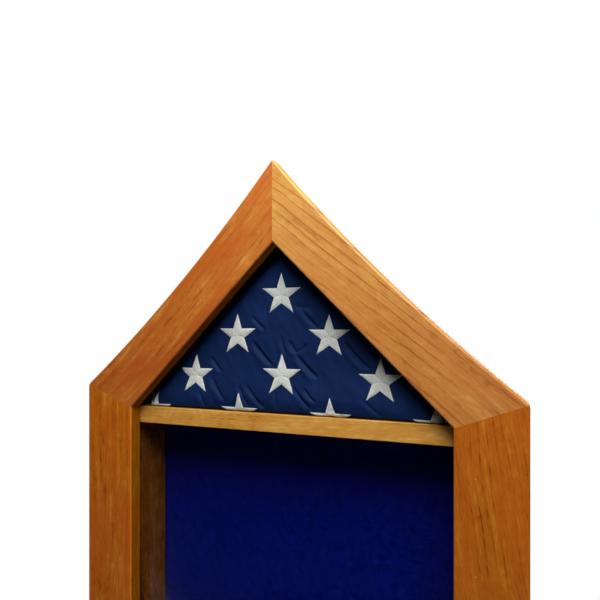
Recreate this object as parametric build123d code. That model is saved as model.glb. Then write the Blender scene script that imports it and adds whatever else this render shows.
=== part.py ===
from build123d import *
import os
from math import atan2, degrees, sqrt

# A wall-hung, five-sided wooden case. A shelf divides it: a folded flag rests above the shelf, and a
# felt-lined display space is below it. A wide mitred face frame overlaps the front of the box.
# Millimetres. +X is right, -Y is the front, +Z is up. The origin is at the bottom centre of the
# bounding box, so Y = 0 is halfway between the front of the frame and the wall.

# ---- Driving dimensions ----
CASE_WIDTH = 558.8  # 22 in across the face frame
CASE_HEIGHT = 762.0  # 30 in from the bottom rail to the peak
PEAK_RISE = 277.0  # the peak above the shoulders
RAIL_HOLLOW = 9.1  # how far the outer edge of an upper rail bows in from its chord
BOX_INSIDE_WIDTH = 431.8  # 17 in, for a folded 3 x 5 ft flag
FACE_LIP = 9.5  # the frame overlaps the inside of the box, and keeps the glass in
CORNER_DROP = 28.0  # the opening's shoulder corners, below the outer shoulders
FACE_THICKNESS = 18.0
BOARD_THICKNESS = 19.0
BOARD_DEPTH = 80.0
BUMPER_HEIGHT = 6.0

# ---- Face frame ----
SHOULDER_RADIUS = 8.0
PEAK_RADIUS = 3.0
FOOT_RADIUS = 4.0
OUTER_ROUND = 3.0  # round-over along the front outer edge
INNER_ROUND = 2.5  # round-over along the opening
BACK_EASE = 1.0
BISCUIT_LENGTH = 53.0
BISCUIT_WIDTH = 19.0
BISCUIT_THICKNESS = 4.0
SLOT_GAP = 0.15

# ---- Glass and its beads ----
GLASS_THICKNESS = 2.5
GLASS_GAP = 0.8
BEAD_WIDTH = 5.0
BEAD_DEPTH = 6.0
BEAD_ROUND = 3.0
BEAD_GAP = 0.1  # between a bead and the box board it is stuck to

# ---- Shelf and back ----
SHELF_DROP = 29.0  # the shelf's top, below the outer shoulders
SHELF_THICKNESS = 22.5
SHELF_EDGE_ROUND = 1.0
DADO_DEPTH = 6.0
FIT_GAP = 0.2
FELT_DEPTH = 85.0  # front face of the felt, behind the front of the frame
FELT_THICKNESS = 1.5
BACKING_THICKNESS = 6.0
BACKING_GAP = 1.0
PANEL_THICKNESS = 5.0
PANEL_GAP = 0.75
RABBET_WIDTH = 8.0

# ---- Folded flag ----
FLAG_FRONT_DEPTH = 27.5
FLAG_BACK_GAP = 3.0
FLAG_SIDE_GAP = 2.0
FLAG_BASE_GAP = 0.4
FLAG_CORNER_RADIUS = 10.0
FLAG_EDGE_ROUND = 9.0

# ---- Fasteners and fittings ----
PILOT_GAP = 0.02  # radial gap between a fastener's shank and its hole
BRAD_RADIUS = 0.65
BRAD_LENGTH = 36.0
BRAD_SET = 2.0  # how far a brad's head is set below the face, under the filler
FILLER_RADIUS = 0.8
BRAD_OFFSET = 22.0  # brads lie this far outward from the opening
BRADS_ALONG = {  # distances of the brads from the first end of each side's brad line
    "bottom": (60.0, 222.0, 384.0),
    "right": (56.0, 156.0, 256.0, 356.0),
    "upper_right": (85.0, 191.0, 297.0),
    "upper_left": (26.0, 132.0, 238.0),
    "left": (59.0, 159.0, 259.0, 359.0),
}
SCREW_RADIUS = 1.6
SCREW_HEAD_RADIUS = 3.2
SCREW_HEAD_HEIGHT = 1.6
SCREW_LENGTH = 14.0
SHELF_SCREW_LENGTH = 42.0
SHELF_SCREW_RADIUS = 2.0
SHELF_SCREW_HEAD_RADIUS = 4.0
SHELF_SCREW_DEPTHS = (42.0, 72.0)
BUTTON_WIDTH = 10.0
BUTTON_REACH = 24.0  # from the pivot to the far end of the tab
BUTTON_THICKNESS = 2.0
BUTTON_CLEARANCE = 0.06
BUTTON_LIFT = 0.1  # gap under the button, and under its screw's head
RING_WIRE_RADIUS = 1.25
RING_RADIUS = 10.0  # centre line of the ring's round side
RING_LEG = 4.0  # straight stretch between the ring's bar and its round side
RING_CLEARANCE = 0.08
LOOP_WALL = 1.2
PLATE_WIDTH = 10.0
PLATE_LENGTH = 34.0
PLATE_HOLES = (12.0, 26.0)  # below the ring's bar
HANGER_HEIGHT = 400.0  # the ring's bar above the bottom of the case
BUMPER_RADIUS = 5.0
BUMPER_HEIGHT_LOW = 90.0
BUMPER_FROM_PEAK = 40.0

# ---- Worked out ----
TOTAL_DEPTH = FACE_THICKNESS + BOARD_DEPTH + BUMPER_HEIGHT
BACK_DEPTH = FACE_THICKNESS + BOARD_DEPTH
GLASS_BACK = FACE_THICKNESS + GLASS_THICKNESS
PANEL_DEPTH = FELT_DEPTH + FELT_THICKNESS + BACKING_THICKNESS
SHOULDER_Z = CASE_HEIGHT - PEAK_RISE
SHELF_TOP = SHOULDER_Z - SHELF_DROP
SHELF_BOTTOM = SHELF_TOP - SHELF_THICKNESS
HALF_WIDTH = CASE_WIDTH / 2
OPENING_HALF_WIDTH = BOX_INSIDE_WIDTH / 2 - FACE_LIP
OPENING_BOTTOM = HALF_WIDTH - OPENING_HALF_WIDTH
OPENING_CORNER = SHOULDER_Z - CORNER_DROP
BOARD_OUTSIDE = FACE_LIP + BOARD_THICKNESS
RABBET_EDGE = FACE_LIP + RABBET_WIDTH
EDGE_CENTRE = (RABBET_EDGE + BOARD_OUTSIDE) / 2  # middle of a board's back edge, outside the rabbet
SIDES = ("bottom", "right", "upper_right", "upper_left", "left")
BUTTON_PLACES = {  # share of the way along each side's back edge
    "bottom": (0.5,),
    "right": (0.25, 0.66),
    "upper_right": (0.5,),
    "upper_left": (0.5,),
    "left": (0.34, 0.75),
}


# ---- Helpers ----
def y_at(depth):
    """Y of a plane this far behind the front of the frame."""
    return depth - TOTAL_DEPTH / 2


def slab(face, front, back):
    """Solid with an X-Z outline, between two depths."""
    return extrude(Plane.XZ.offset(-y_at(back)) * face, back - front)


def outline(points):
    """Closed flat outline with straight sides."""
    return make_face(Polyline(*points, close=True))


def opening_corners(offset):
    """Corners of the frame's opening with each side moved outward: bottom left, then anticlockwise."""
    half = OPENING_HALF_WIDTH + offset
    corner = OPENING_CORNER + OPENING_HALF_WIDTH + offset * sqrt(2) - half
    low = OPENING_BOTTOM - offset
    return [(-half, low), (half, low), (half, corner), (0, corner + half), (-half, corner)]


def outer_corners():
    """Corners of the face frame's outside, in the same order."""
    return [
        (-HALF_WIDTH, 0),
        (HALF_WIDTH, 0),
        (HALF_WIDTH, SHOULDER_Z),
        (0, CASE_HEIGHT),
        (-HALF_WIDTH, SHOULDER_Z),
    ]


def angle_of(direction):
    """Angle of a flat direction from +X, anticlockwise, in degrees."""
    return degrees(atan2(direction.Y, direction.X))


def along_side(side, offset, distance=None, share=None):
    """Point on a side of the opening moved outward by offset, and the side's direction."""
    corners = opening_corners(offset)
    index = SIDES.index(side)
    start, end = Vector(*corners[index]), Vector(*corners[(index + 1) % len(SIDES)])
    direction = (end - start).normalized()
    if distance is None:
        distance = share * (end - start).length
    return start + direction * distance, direction


def side_wedge(side, inner, outer, reach=1.0):
    """Four-sided outline between two rings of corners: one side with its mitred ends."""
    index = SIDES.index(side)
    following = (index + 1) % len(SIDES)

    def stretched(i):
        return tuple(a + reach * (b - a) for a, b in zip(inner[i], outer[i]))

    return outline([inner[index], inner[following], stretched(following), stretched(index)])


def rod(radius, x, z, front, back):
    """Round bar along Y between two depths."""
    return slab(Pos(x, z) * Circle(radius), front, back)


def one_node(solids):
    """Group of separate solids kept as one sub-part."""
    return Compound(children=[solid for item in solids for solid in item.solids()])


# ---- Face frame ----
def frame_outline():
    """Outside of the face frame: straight stiles and foot, hollow-curved upper edges."""
    foot_left, foot_right, shoulder_right, peak, shoulder_left = outer_corners()
    chord = Vector(*peak) - Vector(*shoulder_right)
    inward = Vector(-abs(chord.Y), -abs(chord.X)).normalized() * RAIL_HOLLOW
    middle = (Vector(*peak) + Vector(*shoulder_right)) / 2 + inward
    right_arc = ThreePointArc(shoulder_right, (middle.X, middle.Y), peak)
    left_arc = ThreePointArc(peak, (-middle.X, middle.Y), shoulder_left)
    straight = Polyline(shoulder_left, foot_left, foot_right, shoulder_right)
    face = make_face([straight, right_arc, left_arc])
    corners = face.vertices()
    face = fillet(corners.filter_by(lambda v: abs(v.Y - SHOULDER_Z) < 1), SHOULDER_RADIUS)
    face = fillet(face.vertices().filter_by(lambda v: abs(v.X) < 1), PEAK_RADIUS)
    return fillet(face.vertices().filter_by(lambda v: abs(v.Y) < 1), FOOT_RADIUS)


def frame_ring():
    """The whole face frame before it is cut at the mitres."""
    ring = slab(frame_outline() - outline(opening_corners(0)), 0, FACE_THICKNESS)
    front = ring.faces().sort_by(Axis.Y)[0]
    ring = fillet(front.outer_wire().edges(), OUTER_ROUND)
    back = ring.faces().sort_by(Axis.Y)[-1]
    return chamfer(back.outer_wire().edges(), BACK_EASE)


def mitre_points():
    """Middle and direction of each mitre line of the face frame."""
    for inner, outer in zip(opening_corners(0), outer_corners()):
        start, end = Vector(*inner), Vector(*outer)
        yield (start + end) / 2, (end - start).normalized()


def biscuits(gap=0.0):
    """Lens-shaped biscuits lying along the mitres, half in each member."""
    half_length = BISCUIT_LENGTH / 2 + gap
    half_width = BISCUIT_WIDTH / 2 + gap
    middle = FACE_THICKNESS / 2
    half_thickness = BISCUIT_THICKNESS / 2 + gap
    lens = make_face(
        [
            ThreePointArc((-half_length, 0), (0, half_width), (half_length, 0)),
            ThreePointArc((half_length, 0), (0, -half_width), (-half_length, 0)),
        ]
    )
    made = []
    for centre, direction in mitre_points():
        placed = Pos(centre.X, centre.Y) * Rot(Z=angle_of(direction)) * lens
        made.append(slab(placed, middle - half_thickness, middle + half_thickness))
    return made


def brad_points():
    """X and Z of each brad, side by side."""
    for side, distances in BRADS_ALONG.items():
        for distance in distances:
            point, _ = along_side(side, BRAD_OFFSET, distance=distance)
            yield side, point.X, point.Y


def rounded_inside(member, side):
    """A member of the face frame with its front edge rounded over along the opening."""
    middle, _ = along_side(side, 0, share=0.5)
    front_edge = member.edges().sort_by_distance((middle.X, y_at(0), middle.Y))[0]
    return fillet(front_edge, INNER_ROUND)


def frame_members():
    """The five mitred members, with slots for the biscuits and holes for the brads."""
    ring = frame_ring()
    for slot in biscuits(SLOT_GAP):
        ring -= slot
    for _, x, z in brad_points():
        ring -= rod(FILLER_RADIUS, x, z, 0, BRAD_SET)
        ring -= rod(BRAD_RADIUS + PILOT_GAP, x, z, BRAD_SET, FACE_THICKNESS)
    members = {}
    for side in SIDES:
        wedge = side_wedge(side, opening_corners(0), outer_corners(), reach=1.6)
        kind = "face_rail" if side in ("bottom", "upper_left", "upper_right") else "face_stile"
        member = ring & slab(wedge, 0, FACE_THICKNESS)
        members[f"{kind}_{side}"] = rounded_inside(member, side)
    return members


def frame_brads():
    """Headless brads from the frame into the box boards."""
    return [rod(BRAD_RADIUS, x, z, BRAD_SET, BRAD_SET + BRAD_LENGTH) for _, x, z in brad_points()]


def brad_fillers():
    """Plugs of filler over the brads, flush with the face."""
    return [rod(FILLER_RADIUS - PILOT_GAP, x, z, 0, BRAD_SET) for _, x, z in brad_points()]


# ---- Box ----
def shelf_screws(gap=0.0):
    """Countersunk screws through the box sides into the ends of the shelf."""
    z = (SHELF_TOP + SHELF_BOTTOM) / 2
    outside = OPENING_HALF_WIDTH + BOARD_OUTSIDE
    radius = SHELF_SCREW_RADIUS + gap
    head = SHELF_SCREW_HEAD_RADIUS + gap
    profile = outline(
        [
            (0, outside),
            (head, outside),
            (radius, outside - SHELF_SCREW_HEAD_RADIUS + SHELF_SCREW_RADIUS),
            (radius, outside - SHELF_SCREW_LENGTH),
            (0, outside - SHELF_SCREW_LENGTH - radius),
        ]
    )
    screw = revolve(Plane.XZ * profile, Axis.Z)
    made = []
    for depth in SHELF_SCREW_DEPTHS:
        for turn in (90, -90):
            made.append(Pos(0, y_at(depth), z) * Rot(Y=turn) * screw)
    return made


def box_boards():
    """Five mitred boards, rabbeted for the back panel and grooved for the shelf."""
    rabbet = slab(outline(opening_corners(RABBET_EDGE)), PANEL_DEPTH, BACK_DEPTH)
    groove_half = OPENING_HALF_WIDTH + FACE_LIP + DADO_DEPTH + FIT_GAP
    groove_middle = (SHELF_TOP + SHELF_BOTTOM) / 2
    groove = Pos(0, groove_middle) * Rectangle(2 * groove_half, SHELF_THICKNESS + 2 * FIT_GAP)
    cuts = [rabbet, slab(groove, GLASS_BACK, PANEL_DEPTH)]
    cuts += shelf_screws(PILOT_GAP)
    boards = {}
    for side in SIDES:
        wedge = side_wedge(side, opening_corners(FACE_LIP), opening_corners(BOARD_OUTSIDE))
        board = slab(wedge, FACE_THICKNESS, BACK_DEPTH)
        for cut in cuts:
            board -= cut
        for brad_side, x, z in brad_points():
            if brad_side == side:
                hole_end = BRAD_SET + BRAD_LENGTH
                board -= rod(BRAD_RADIUS + PILOT_GAP, x, z, FACE_THICKNESS, hole_end)
        for point in back_screw_points(side):
            hole_front = BACK_DEPTH - SCREW_LENGTH
            board -= rod(SCREW_RADIUS + PILOT_GAP, point.X, point.Y, hole_front, BACK_DEPTH)
        boards[f"box_board_{side}"] = board
    return boards


def shelf():
    """Solid shelf with its ends housed in the side boards."""
    half = OPENING_HALF_WIDTH + FACE_LIP + DADO_DEPTH
    plan = Pos(0, (SHELF_TOP + SHELF_BOTTOM) / 2) * Rectangle(2 * half, SHELF_THICKNESS)
    board = slab(plan, GLASS_BACK + 2 * FIT_GAP, PANEL_DEPTH - FIT_GAP)
    front = board.faces().sort_by(Axis.Y)[0]
    board = fillet(front.edges().filter_by(Axis.X), SHELF_EDGE_ROUND)
    for hole in shelf_screws(PILOT_GAP):
        board -= hole
    return board


# ---- Glass ----
def glass_pane():
    """Five-sided pane that rests against the frame's lip."""
    return slab(outline(opening_corners(FACE_LIP - GLASS_GAP)), FACE_THICKNESS, GLASS_BACK)


def glazing_beads():
    """Quarter-round strips behind the edges of the glass, interrupted by the shelf."""
    outer = opening_corners(FACE_LIP - BEAD_GAP)
    inner = opening_corners(FACE_LIP - BEAD_WIDTH)
    hollow = outline(inner)
    ring = slab(outline(outer) - hollow, GLASS_BACK, GLASS_BACK + BEAD_DEPTH)
    back = ring.faces().sort_by(Axis.Y)[-1]
    ring = fillet(back.inner_wires()[0].edges(), BEAD_ROUND)
    above = Pos(0, SHELF_TOP + FIT_GAP) * Rectangle(
        CASE_WIDTH, CASE_HEIGHT, align=(Align.CENTER, Align.MIN)
    )
    below = Pos(0, SHELF_BOTTOM - FIT_GAP) * Rectangle(
        CASE_WIDTH, CASE_HEIGHT, align=(Align.CENTER, Align.MAX)
    )
    beads = {}
    for side in SIDES:
        part_of_case = above if side.startswith("upper") else below
        wedge = side_wedge(side, inner, outer) & part_of_case
        cutter = slab(wedge, GLASS_BACK, GLASS_BACK + BEAD_DEPTH)
        beads[f"glazing_bead_{side}"] = ring & cutter
    return beads


# ---- Back ----
def backing_half_width():
    """Half the width of the lower lining, which drops in between the box sides."""
    return OPENING_HALF_WIDTH + FACE_LIP - BACKING_GAP


def lining(front, thickness):
    """Rectangle that fills the back of the lower compartment."""
    low = OPENING_BOTTOM - FACE_LIP + BACKING_GAP
    high = SHELF_BOTTOM - BACKING_GAP
    plan = Pos(0, (low + high) / 2) * Rectangle(2 * backing_half_width(), high - low)
    return slab(plan, front, front + thickness)


def back_panel():
    """Thin panel that sits in the boards' rabbet."""
    corners = opening_corners(RABBET_EDGE - PANEL_GAP)
    return slab(outline(corners), PANEL_DEPTH, PANEL_DEPTH + PANEL_THICKNESS)


# ---- Folded flag ----
def folded_flag():
    """Plain triangular bundle with soft corners, resting on the shelf."""
    base = SHELF_TOP + FLAG_BASE_GAP
    _, apex = opening_corners(FACE_LIP - FLAG_SIDE_GAP)[3]
    half = apex - base
    face = outline([(-half, base), (half, base), (0, apex)])
    face = fillet(face.vertices(), FLAG_CORNER_RADIUS)
    bundle = slab(face, FLAG_FRONT_DEPTH, PANEL_DEPTH - FLAG_BACK_GAP)
    ends = (bundle.faces().sort_by(Axis.Y)[0], bundle.faces().sort_by(Axis.Y)[-1])
    rims = [edge for end in ends for edge in end.outer_wire().edges()]
    return fillet(rims, FLAG_EDGE_ROUND)


# ---- Turn buttons ----
def button_points():
    """Name, pivot and inward angle of each turn button."""
    for side, shares in BUTTON_PLACES.items():
        for number, share in enumerate(shares, start=1):
            point, direction = along_side(side, EDGE_CENTRE, share=share)
            inward = Vector(-direction.Y, direction.X)
            name = f"turn_button_{side}" + (f"_{number}" if len(shares) > 1 else "")
            yield name, side, point, angle_of(inward)


def turn_buttons():
    """Round-ended tabs that turn about a screw and reach over the back panel."""
    front = BACK_DEPTH + BUTTON_LIFT
    span = BUTTON_REACH - BUTTON_WIDTH / 2
    tab = Pos(span / 2, 0) * SlotCenterToCenter(span, BUTTON_WIDTH)
    tab -= Circle(SCREW_RADIUS + BUTTON_CLEARANCE)
    buttons = {}
    for name, _, point, angle in button_points():
        placed = Pos(point.X, point.Y) * Rot(Z=angle) * tab
        button = slab(placed, front, front + BUTTON_THICKNESS)
        back = button.faces().sort_by(Axis.Y)[-1]
        buttons[name] = fillet(back.outer_wire().edges(), BUTTON_THICKNESS / 4)
    return buttons


def pan_head_screw(point, head_depth):
    """Screw along Y into a back edge, with a domed head whose underside is at head_depth."""
    shank = rod(SCREW_RADIUS, point.X, point.Y, BACK_DEPTH - SCREW_LENGTH, head_depth)
    head = rod(SCREW_HEAD_RADIUS, point.X, point.Y, head_depth, head_depth + SCREW_HEAD_HEIGHT)
    rim = head.faces().sort_by(Axis.Y)[-1].edges()
    return shank + fillet(rim, SCREW_HEAD_HEIGHT * 0.6)


def turn_button_screws():
    """One pan-head screw through each turn button."""
    head_depth = BACK_DEPTH + BUTTON_THICKNESS + 2 * BUTTON_LIFT
    return [pan_head_screw(point, head_depth) for _, _, point, _ in button_points()]


# ---- Hangers ----
def hanger_x(hand):
    """Centre of a hanger on the back edge of a box side: hand is -1 for left, 1 for right."""
    return hand * (OPENING_HALF_WIDTH + EDGE_CENTRE)


def ring_axis_depth():
    """Depth of the ring's bar: the rolled loop around it rests on the box."""
    return BACK_DEPTH + RING_WIRE_RADIUS + RING_CLEARANCE + LOOP_WALL


def hanger_ring(hand):
    """D-shaped wire ring. Its straight bar turns in the plate's loop."""
    x = hanger_x(hand)
    path = Polyline((-RING_RADIUS, RING_LEG), (-RING_RADIUS, 0), (RING_RADIUS, 0), (RING_RADIUS, RING_LEG))
    arc = ThreePointArc((RING_RADIUS, RING_LEG), (0, RING_LEG + RING_RADIUS), (-RING_RADIUS, RING_LEG))
    wire = Wire(path.edges() + [arc.edge()])
    corners = wire.vertices().filter_by(lambda v: abs(v.Y) < 0.1)
    wire = wire.fillet_2d(2 * RING_WIRE_RADIUS, corners)
    wire = Plane.XZ * wire
    start = wire.position_at(0)
    section = Plane(origin=start, z_dir=wire.tangent_at(0)) * Circle(RING_WIRE_RADIUS)
    ring = sweep(section, path=wire)
    return Pos(x, y_at(ring_axis_depth()), HANGER_HEIGHT) * ring


def hanger_plate(hand):
    """Strap with its top end rolled around the ring's bar, and two screw holes."""
    x = hanger_x(hand)
    outer = RING_WIRE_RADIUS + RING_CLEARANCE + LOOP_WALL
    strap = Pos(x, HANGER_HEIGHT) * Rectangle(
        PLATE_WIDTH, PLATE_LENGTH, align=(Align.CENTER, Align.MAX)
    )
    for below in PLATE_HOLES:
        strap -= Pos(x, HANGER_HEIGHT - below) * Circle(SCREW_RADIUS + PILOT_GAP)
    plate = slab(strap, BACK_DEPTH, BACK_DEPTH + LOOP_WALL)
    axis = Pos(x, y_at(ring_axis_depth()), HANGER_HEIGHT) * Rot(Y=90)
    loop = axis * Cylinder(outer, PLATE_WIDTH)
    bore = axis * Cylinder(RING_WIRE_RADIUS + RING_CLEARANCE, PLATE_WIDTH)
    return plate + loop - bore


def hanger_screw_points(hand):
    """The two screws of one hanger plate."""
    return [Vector(hanger_x(hand), HANGER_HEIGHT - below) for below in PLATE_HOLES]


def hanger_screws():
    """Pan-head screws that hold the hanger plates."""
    head_depth = BACK_DEPTH + LOOP_WALL
    points = hanger_screw_points(-1) + hanger_screw_points(1)
    return [pan_head_screw(point, head_depth) for point in points]


def back_screw_points(side):
    """Every screw that enters the back edge of one board."""
    points = [point for _, owner, point, _ in button_points() if owner == side]
    if side == "left":
        points += hanger_screw_points(-1)
    if side == "right":
        points += hanger_screw_points(1)
    return points


# ---- Wall bumpers ----
def wall_bumpers():
    """Four rubber discs on the back edges, which touch the wall."""
    low_x = OPENING_HALF_WIDTH + EDGE_CENTRE
    upper, _ = along_side("upper_left", EDGE_CENTRE, distance=BUMPER_FROM_PEAK)
    places = [(low_x, BUMPER_HEIGHT_LOW), (-low_x, BUMPER_HEIGHT_LOW)]
    places += [(upper.X, upper.Y), (-upper.X, upper.Y)]
    made = []
    for x, z in places:
        disc = rod(BUMPER_RADIUS, x, z, BACK_DEPTH, TOTAL_DEPTH)
        rim = disc.faces().sort_by(Axis.Y)[-1].edges()
        made.append(fillet(rim, BUMPER_RADIUS * 0.2))
    return made


# ---- All sub-parts ----
def all_nodes():
    """Every sub-part, by node name."""
    nodes = {}
    nodes.update(frame_members())
    nodes.update(box_boards())
    nodes.update(glazing_beads())
    nodes.update(turn_buttons())
    nodes["mitre_biscuits"] = one_node(biscuits())
    nodes["frame_brads"] = one_node(frame_brads())
    nodes["brad_fillers"] = one_node(brad_fillers())
    nodes["shelf"] = shelf()
    nodes["shelf_screws"] = one_node(shelf_screws())
    nodes["glass_pane"] = glass_pane()
    nodes["folded_flag"] = folded_flag()
    nodes["backing_felt"] = lining(FELT_DEPTH, FELT_THICKNESS)
    nodes["backing_board"] = lining(FELT_DEPTH + FELT_THICKNESS, BACKING_THICKNESS)
    nodes["back_panel"] = back_panel()
    nodes["turn_button_screws"] = one_node(turn_button_screws())
    for name, hand in (("left", -1), ("right", 1)):
        nodes[f"hanger_plate_{name}"] = hanger_plate(hand)
        nodes[f"hanger_ring_{name}"] = hanger_ring(hand)
    nodes["hanger_screws"] = one_node(hanger_screws())
    nodes["wall_bumpers"] = one_node(wall_bumpers())
    return nodes


os.makedirs("parts", exist_ok=True)
for node_name, shape in all_nodes().items():
    export_step(shape, f"parts/{node_name}.step")
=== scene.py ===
import math

import bmesh
import bpy
import numpy as np
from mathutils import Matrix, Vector
from mathutils.bvhtree import BVHTree


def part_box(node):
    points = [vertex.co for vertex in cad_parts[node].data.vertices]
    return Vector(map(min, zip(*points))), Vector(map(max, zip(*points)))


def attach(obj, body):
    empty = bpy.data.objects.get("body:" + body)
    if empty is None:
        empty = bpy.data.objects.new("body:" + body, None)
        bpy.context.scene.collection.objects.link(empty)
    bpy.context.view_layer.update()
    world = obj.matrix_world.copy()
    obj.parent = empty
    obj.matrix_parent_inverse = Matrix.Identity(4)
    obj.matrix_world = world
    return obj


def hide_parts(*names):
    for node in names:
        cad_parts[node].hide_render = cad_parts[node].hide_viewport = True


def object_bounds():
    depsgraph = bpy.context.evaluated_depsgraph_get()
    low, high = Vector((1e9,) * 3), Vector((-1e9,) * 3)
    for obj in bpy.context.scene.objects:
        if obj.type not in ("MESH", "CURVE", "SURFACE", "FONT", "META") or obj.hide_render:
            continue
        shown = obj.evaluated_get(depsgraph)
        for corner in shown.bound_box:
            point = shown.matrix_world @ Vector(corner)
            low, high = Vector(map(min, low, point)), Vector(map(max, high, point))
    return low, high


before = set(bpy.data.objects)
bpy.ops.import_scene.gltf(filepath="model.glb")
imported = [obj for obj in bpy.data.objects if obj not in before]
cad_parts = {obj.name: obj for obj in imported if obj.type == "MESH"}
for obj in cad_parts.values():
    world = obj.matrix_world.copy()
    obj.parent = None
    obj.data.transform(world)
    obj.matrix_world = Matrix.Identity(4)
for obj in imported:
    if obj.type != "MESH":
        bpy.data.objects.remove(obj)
cad_low, cad_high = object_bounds()

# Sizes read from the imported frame, in metres. +X is right, -Y is the front, +Z is up.
MM = 0.001
SHELF_DROP = 29.0 * MM  # the shelf's top, below the outer shoulders
FRONT_Y = cad_low.y
PEAK_Z = cad_high.z
SHOULDER_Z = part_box("shelf")[1].z + SHELF_DROP
FLAG_LOW, FLAG_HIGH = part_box("folded_flag")
FELT_LOW, FELT_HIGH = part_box("backing_felt")
GLASS_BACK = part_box("glass_pane")[1].y

# Camera: in front of the case and right of its middle, a little above the shoulders, level, aimed left.
CAMERA_PLACE = Vector((258.0 * MM, FRONT_Y - 557.0 * MM, SHOULDER_Z + 72.4 * MM))
CAMERA_TURN = math.radians(21.76)
CAMERA_LENS = 31.12
SENSOR = 36.0
CAMERA_SHIFT_UP = 0.0525

SLOPE = math.pi / 4  # the upper rails run at 45 degrees


# ---------------------------------------------------------------- node helpers
class Graph:
    """Short way to build a node tree: each call adds one node and wires its inputs. An input is given by
    its name, or by its number as i0, i1 and so on."""

    def __init__(self, tree):
        self.tree = tree

    def add(self, kind, settings=None, **inputs):
        node = self.tree.nodes.new(kind)
        for key, value in (settings or {}).items():
            setattr(node, key, value)
        for key, value in inputs.items():
            self.feed(node, key, value)
        return node

    def feed(self, node, key, value):
        socket = node.inputs[int(key[1:])] if key[0] == "i" and key[1:].isdigit() else None
        if socket is None:
            wanted = key.replace("_", " ").lower()
            socket = next(s for s in node.inputs if s.name.lower() == wanted and s.enabled)
        if isinstance(value, bpy.types.NodeSocket):
            self.tree.links.new(value, socket)
        else:
            socket.default_value = value

    def math(self, operation, a, b=0.0, c=0.0, clamp=False):
        settings = {"operation": operation, "use_clamp": clamp}
        return self.add("ShaderNodeMath", settings, i0=a, i1=b, i2=c).outputs[0]

    def vector(self, operation, a, b=(0, 0, 0)):
        node = self.add("ShaderNodeVectorMath", {"operation": operation}, i0=a, i1=b)
        return node.outputs["Value"] if operation in ("LENGTH", "DOT_PRODUCT") else node.outputs[0]

    def noise(self, vector, scale, detail=3.0, roughness=0.5, distortion=0.0):
        node = self.add(
            "ShaderNodeTexNoise",
            vector=vector,
            scale=scale,
            detail=detail,
            roughness=roughness,
            distortion=distortion,
        )
        return node.outputs[0]

    def spread(self, value, low, high, to_low=0.0, to_high=1.0):
        settings = {"clamp": True}
        node = self.add("ShaderNodeMapRange", settings, i0=value, i1=low, i2=high, i3=to_low, i4=to_high)
        return node.outputs[0]

    def mix(self, share, a, b, blend="MIX"):
        settings = {"data_type": "RGBA", "blend_type": blend, "clamp_factor": True}
        return self.add("ShaderNodeMix", settings, i0=share, i6=a, i7=b).outputs[2]

    def tinted(self, base, tint):
        return self.mix(1.0, base, tint, "MULTIPLY")

    def ramp(self, value, stops):
        node = self.add("ShaderNodeValToRGB", fac=value)
        ramp = node.color_ramp
        ramp.interpolation = "EASE"
        while len(ramp.elements) < len(stops):
            ramp.elements.new(0.5)
        for element, (place, colour) in zip(ramp.elements, stops):
            element.position = place
            element.color = colour
        return node.outputs[0]


def colour(red, green, blue):
    """Linear RGBA from screen values of 0 to 255."""

    def linear(value):
        share = value / 255
        return share / 12.92 if share <= 0.04045 else ((share + 0.055) / 1.055) ** 2.4

    return (linear(red), linear(green), linear(blue), 1.0)


def new_material(name):
    material = bpy.data.materials.new(name)
    material.use_nodes = True
    tree = material.node_tree
    tree.nodes.clear()
    graph = Graph(tree)
    output = graph.add("ShaderNodeOutputMaterial")
    return material, graph, output


def object_place(graph):
    """Place in the case's own frame, in metres."""
    return graph.add("ShaderNodeTexCoord").outputs["Object"]


def finish_surface(graph, output, base, roughness, bump=None, bump_depth=0.0002, **settings):
    surface = graph.add("ShaderNodeBsdfPrincipled", base_color=base, roughness=roughness, **settings)
    if bump is not None:
        height = graph.add("ShaderNodeBump", strength=1.0, distance=bump_depth, height=bump)
        graph.feed(surface, "normal", height.outputs[0])
    graph.feed(output, "surface", surface.outputs[0])
    return surface


# ---------------------------------------------------------------- wood
SEED_SHIFT = (0.37, 0.0, 0.61)  # how far one step of the seed moves a board through its noise, in metres
SEED_CENTRE = 0.013  # and how far it moves the middle of the rings
RING_SOFTNESS = 0.2  # how dark a ring is before its late wood
LOG_FORWARD = 35 * MM  # the log's middle, in front of the case's middle plane
PORE_SHARE = 0.30
PAINTED_SHEEN_TINT = (1.25, 1.62, 1.75, 1)  # painted sheen: the upper rails are painted paler and less red towards the peak, in place of the key light's glossy reflection there
PAINTED_SHEEN_MARGIN = 40 * MM  # from the shoulders, and from the peak
# painted highlight on the rounded edges, where the key light catches them
PAINTED_EDGE_HIGHLIGHT = (1.22, 1.32, 1.6, 1)
GRAIN_RELIEF = 0.03 * MM


def centred(graph, value):
    return graph.math("SUBTRACT", value, 0.5)


def grain_of(graph, board):
    """Noise stretched along a board's grain: features are long where the scale is small."""

    def grain_noise(along, across, detail=3.0, rough=0.55, distortion=0.0):
        scaled = graph.add("ShaderNodeMapping", i0=board, scale=(along, across, across)).outputs[0]
        return graph.noise(scaled, 1.0, detail, rough, distortion)

    return grain_noise


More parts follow.
